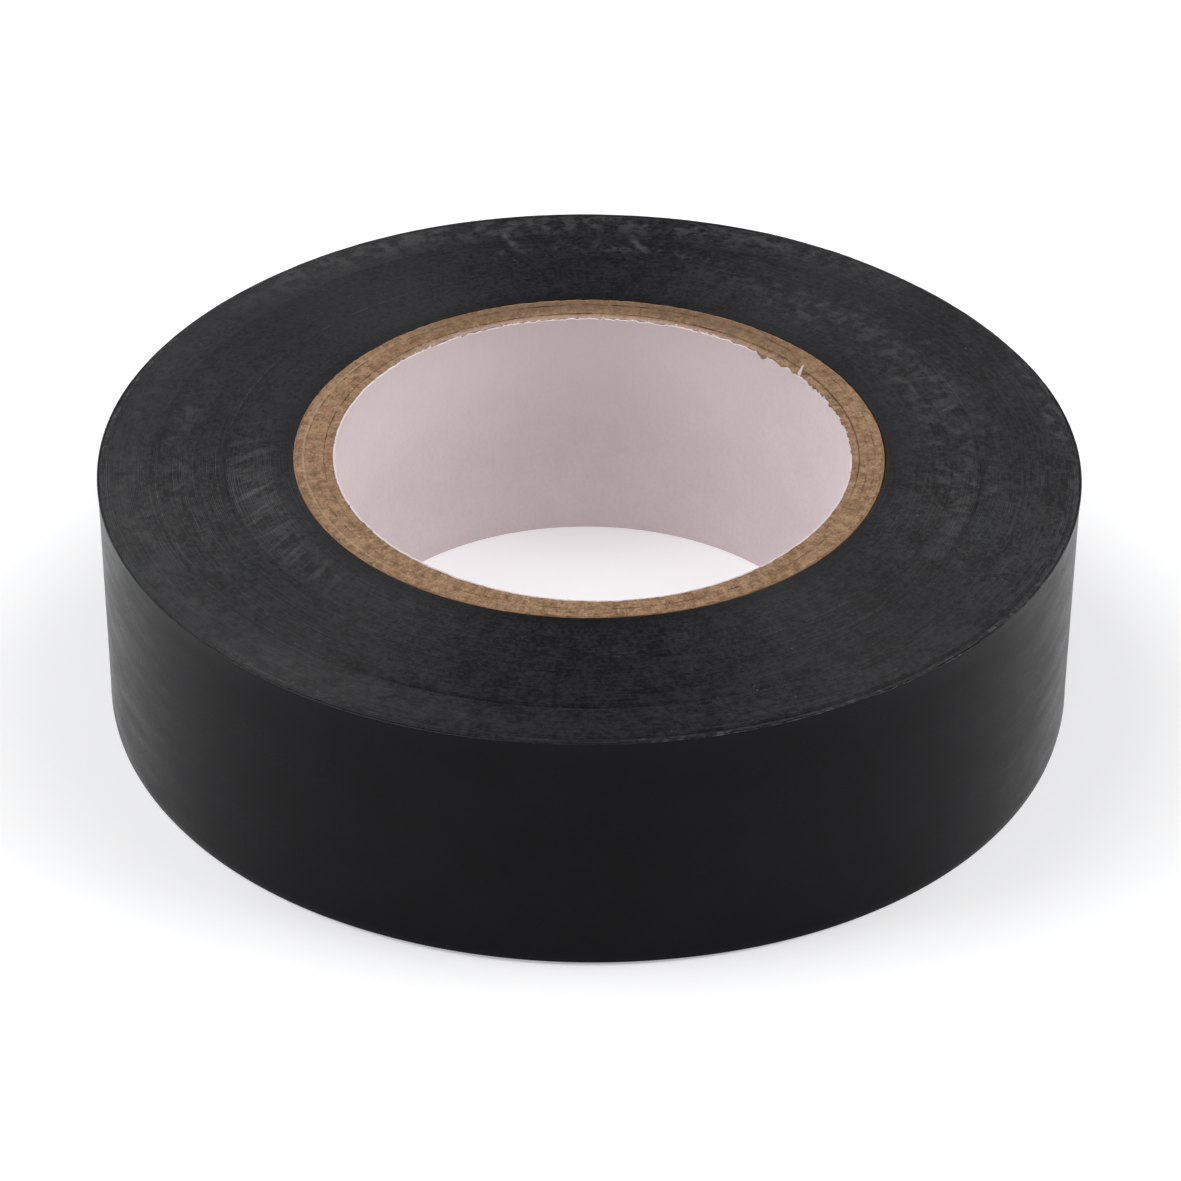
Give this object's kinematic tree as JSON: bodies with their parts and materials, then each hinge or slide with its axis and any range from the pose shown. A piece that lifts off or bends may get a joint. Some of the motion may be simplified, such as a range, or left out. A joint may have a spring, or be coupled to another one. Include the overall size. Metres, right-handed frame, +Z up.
{
  "type": "electrical tape roll",
  "caption": "Roll of black PVC insulating tape wound on a layered cardboard core with a white paper lining; its loose end peels off the roll.",
  "frame": {"origin": "on the axis of the hole, in the plane that the lower ends of the core and the rim lie on", "axes": "+Z up along the axis of the hole; -Y towards the front, from which the roll is seen; +X to the right"},
  "size_m": [0.072, 0.0722, 0.0194],
  "materials": {
    "liner": "matte",
    "chipboard": "matte",
    "kraft": "matte",
    "tape": "satin"
  },
  "bodies": {
    "roll": {"core_liner": "liner", "core_ply_1": "chipboard", "core_ply_2": "chipboard", "core_ply_3": "chipboard", "core_ply_4": "chipboard", "core_facing": "kraft", "tape_inner_turns": "tape", "tape_inner_middle_turns": "tape", "tape_outer_middle_turns": "tape", "tape_outer_turns": "tape", "tape_rim_turns": "tape", "tape_last_turn": "tape"},
    "end_1": {"tape_end_1": "tape"},
    "end_2": {"tape_end_2": "tape"},
    "end_3": {"tape_end_3": "tape"},
    "end_4": {"tape_end_4": "tape"},
    "end_5": {"tape_end_5": "tape"},
    "end_6": {"tape_end_6": "tape"}
  },
  "joints": [
    {"name": "tape_peel", "type": "hinge", "parent": "roll", "child": "end_1", "pos_m": [0.02065, 0.02965, 0], "axis": [0, 0, -1], "range_deg": [0, 60]},
    {"name": "tape_bend_2", "type": "hinge", "parent": "end_1", "child": "end_2", "pos_m": [0.01376, 0.03343, 0], "axis": [0, 0, -1], "range_deg": [0, 12]},
    {"name": "tape_bend_3", "type": "hinge", "parent": "end_2", "child": "end_3", "pos_m": [0.0062, 0.03562, 0], "axis": [0, 0, -1], "range_deg": [0, 12]},
    {"name": "tape_bend_4", "type": "hinge", "parent": "end_3", "child": "end_4", "pos_m": [-0.00164, 0.03613, 0], "axis": [0, 0, -1], "range_deg": [0, 12]},
    {"name": "tape_bend_5", "type": "hinge", "parent": "end_4", "child": "end_5", "pos_m": [-0.00941, 0.03493, 0], "axis": [0, 0, -1], "range_deg": [0, 12]},
    {"name": "tape_bend_6", "type": "hinge", "parent": "end_5", "child": "end_6", "pos_m": [-0.01674, 0.03207, 0], "axis": [0, 0, -1], "range_deg": [0, 12]}
  ],
  "couplings": [
    {"joint": "tape_bend_2", "follows": "tape_peel", "ratio": 0.2},
    {"joint": "tape_bend_3", "follows": "tape_peel", "ratio": 0.2},
    {"joint": "tape_bend_4", "follows": "tape_peel", "ratio": 0.2},
    {"joint": "tape_bend_5", "follows": "tape_peel", "ratio": 0.2},
    {"joint": "tape_bend_6", "follows": "tape_peel", "ratio": 0.2}
  ]
}
